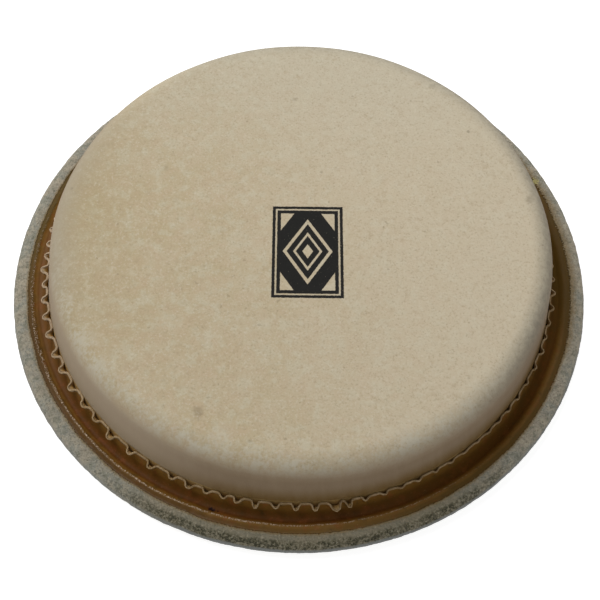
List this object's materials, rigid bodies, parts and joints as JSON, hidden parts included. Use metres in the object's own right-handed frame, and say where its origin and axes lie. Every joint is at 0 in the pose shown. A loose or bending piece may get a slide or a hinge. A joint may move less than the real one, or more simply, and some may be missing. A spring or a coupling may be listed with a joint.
{
  "type": "bongo drum head",
  "caption": "Mounted rawhide bongo drum head: flat playing face, flared collar wall and a tucked rim rolled round a steel flesh hoop.",
  "frame": {"origin": "on the drum's axis, in the plane that the rim rests on", "axes": "+Z along the drum's axis, out of the playing face; X and Y are free, because the head is round"},
  "size_m": [0.215, 0.215, 0.0345],
  "materials": {
    "rawhide": "undyed rawhide: matt napped playing face, pressed amber tuck with a dull gloss",
    "steel_rod": "plain drawn steel rod"
  },
  "bodies": {
    "root": {"rawhide_skin": "rawhide", "flesh_hoop": "steel_rod"}
  },
  "joints": []
}
